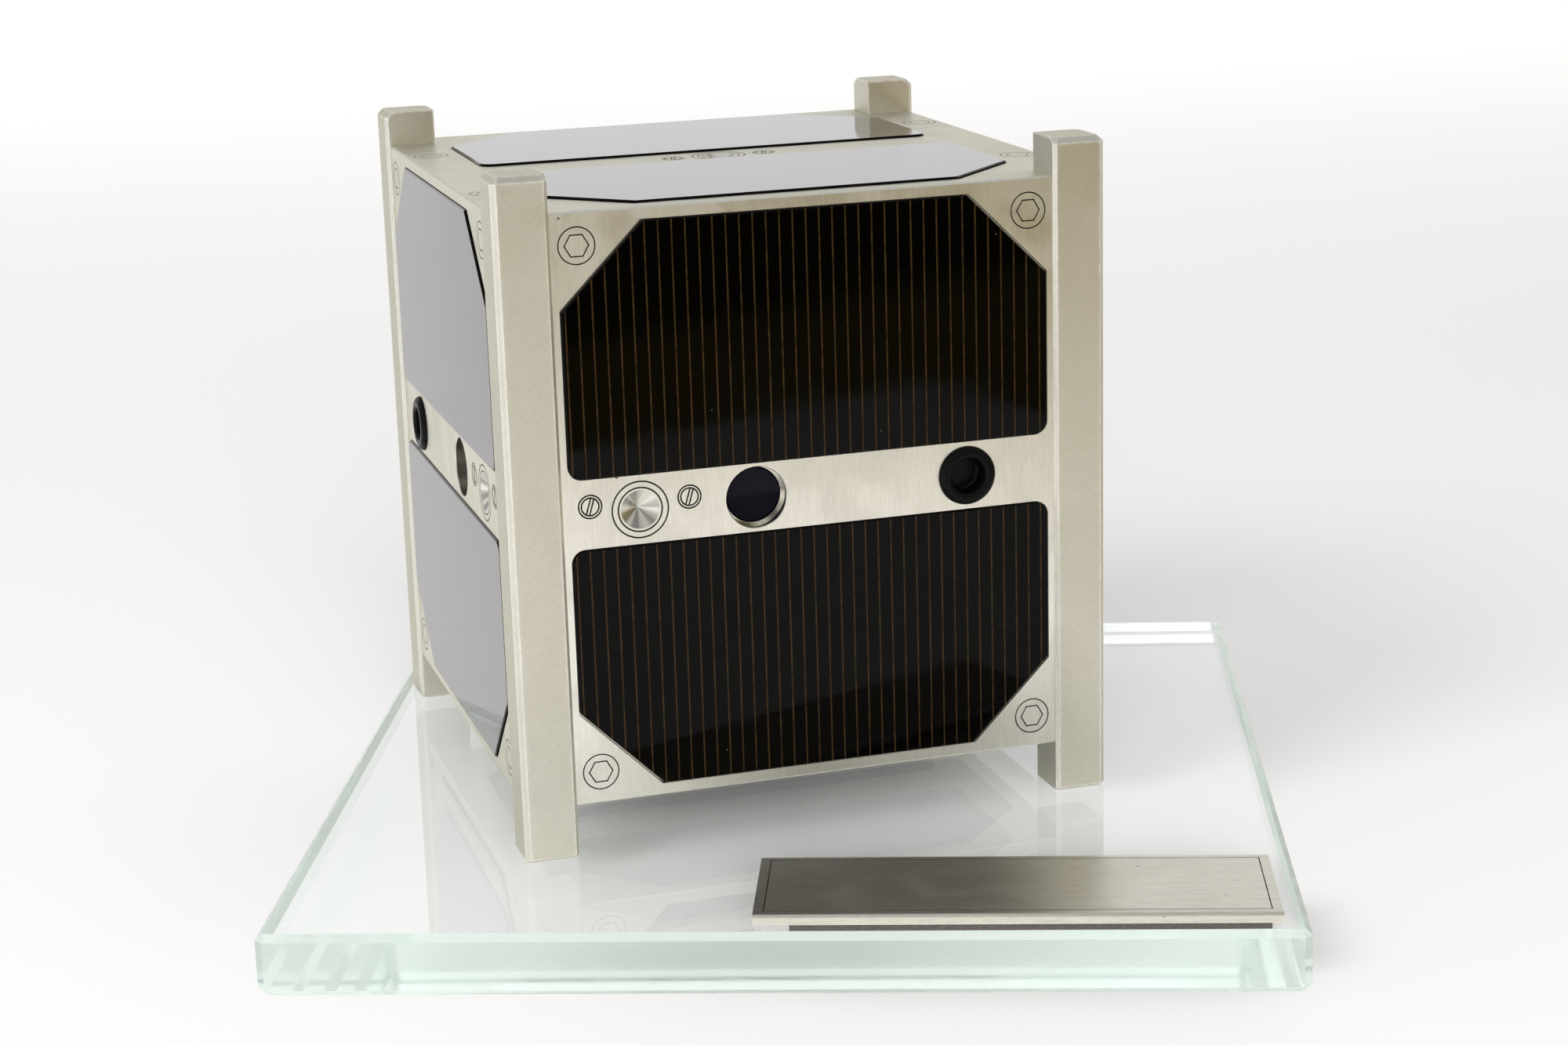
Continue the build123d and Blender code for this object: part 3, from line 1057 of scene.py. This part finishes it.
quarter = [math.pi / 2 * k / rounding_steps for k in range(rounding_steps + 1)]
rim = [
    (
        grommet_radius - outer_rounding * (1 - math.cos(angle)),
        grommet_proud - outer_rounding * (1 - math.sin(angle)),
    )
    for angle in quarter
]
lip = [
    (
        grommet_bore + inner_rounding * (1 - math.sin(angle)),
        grommet_proud - inner_rounding * (1 - math.cos(angle)),
    )
    for angle in quarter
]
grommet_profile = [
    *rim,
    *lip,
    (grommet_bore - bore_taper, bore_floor + floor_rise),
    (grommet_bore - floor_inset, bore_floor),
    (0, bore_floor),
    (0, barrel_end),
    (barrel_radius, barrel_end),
    (barrel_radius, 0),
]
for side, (turn, hand) in SIDES.items():
    low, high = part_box("grommet_" + side)
    place = shifted(face_frame(turn, (low.z + high.z) / 2), hand * grommet_place, 0)
    turned_piece(
        "grommet_rim_" + side, "grommet_" + side, rubber, grommet_profile, place
    )


# ---- Solar cells ---------------------------------------------------------------------------
# Thin tiles of black silicon under glossy glass, with printed copper-brown conductors that run
# up each tile. They are glued into pockets, and stand a little proud of the panel.

cell_black = (0.0004, 0.0003, 0.0001)
cell_copper = (0.037, 0.0205, 0.0075)
cell_sheen = (1.0, 0.72, 0.9, 1.0)
cell_dust = (0.06, 0.055, 0.05)
cell_roughness = (0.04, 0.09)
dust_roughness = 0.5
coat_weight = 0.7
coat_facing = (0.4, 0.85)
print_scale = 0.5
print_reach = (0.3, 0.65)
least_print = 0.45
cell_smear_scale = 0.08
cell_speck_scale = 0.25
cell_speck_size = 0.03
conductor_height = 0.04 * MM

# The conductors and the tiles' outer faces, in millimetres along the cube axes.
conductor_pitch = 2.166
conductor_first = -39.35
conductor_width = 0.24
conductor_blur = 0.05
cell_proud = 0.4
face_slack = 0.05
cell_face = panel_face + cell_proud
cells_highest = (highest.z - cube_centre.z) / MM + cell_proud
cells_lowest = (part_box("panel_bottom")[0].z - cube_centre.z) / MM - cell_proud

cell_finish, tree, shader = finish(
    "solar_cell",
    Roughness=0.04,
    IOR=1.2,
    Coat_IOR=1.5,
    Coat_Roughness=0.03,
    Sheen_Weight=0.05,
    Sheen_Roughness=0.3,
    Sheen_Tint=cell_sheen,
)
facing = add(tree, "ShaderNodeLayerWeight", {"Blend": 0.5}).outputs["Facing"]
link(tree, shader, Coat_Weight=ramp(tree, facing, *coat_facing, 0.0, coat_weight))
axes = use(tree, cube_axes)

# The conductors are printed on the tiles' outer faces only, not on their edges.
parts = add(tree, "ShaderNodeSeparateXYZ", {0: axes["Place"]}).outputs
outwards = maths(
    tree, "MAXIMUM", maths(tree, "ABSOLUTE", parts["X"]), maths(tree, "ABSOLUTE", parts["Y"])
)
on_side = maths(tree, "GREATER_THAN", outwards, cell_face - face_slack)
on_top = maths(tree, "GREATER_THAN", parts["Z"], cells_highest - face_slack)
below = maths(tree, "LESS_THAN", parts["Z"], cells_lowest + face_slack)
on_face = maths(tree, "MAXIMUM", on_side, maths(tree, "MAXIMUM", on_top, below))

# How far a place lies from the middle of the nearest conductor.
from_first = maths(tree, "SUBTRACT", axes["Across"], conductor_first)
count = maths(tree, "DIVIDE", from_first, conductor_pitch)
beside = maths(tree, "SUBTRACT", maths(tree, "FRACT", maths(tree, "ADD", count, 0.5)), 0.5)
from_line = maths(tree, "MULTIPLY", maths(tree, "ABSOLUTE", beside), conductor_pitch)

line_edge = conductor_width / 2
on_line = ramp(tree, from_line, line_edge + conductor_blur, line_edge - conductor_blur)
on_line = maths(tree, "MULTIPLY", on_line, on_face)
ink = add(
    tree, "ShaderNodeTexNoise", {"Vector": axes["Place"], "Scale": print_scale, "Detail": 5.0}
).outputs["Fac"]
strength = maths(tree, "MULTIPLY", on_line, ramp(tree, ink, *print_reach, least_print, 1.0))
speck = use(
    tree, specked, {"Place": axes["Place"], "Scale": cell_speck_scale, "Size": cell_speck_size}
)["Speck"]
tone = blend_colours(tree, strength, opaque(cell_black), opaque(cell_copper))
tone = blend_colours(tree, speck, tone, opaque(cell_dust))
smear = use(tree, handled, {"Place": axes["Place"], "Scale": cell_smear_scale})["Smear"]
rough = ramp(tree, smear, 0.0, 1.0, *cell_roughness)
rough = maths(tree, "MAXIMUM", rough, maths(tree, "MULTIPLY", speck, dust_roughness))
dent = add(
    tree, "ShaderNodeBump", {"Height": on_line, "Strength": 0.3, "Distance": conductor_height}
).outputs[0]
link(tree, shader, Base_Color=tone, Roughness=rough, Normal=dent)
dress(cell_finish, *[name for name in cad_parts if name.startswith("cell_")])
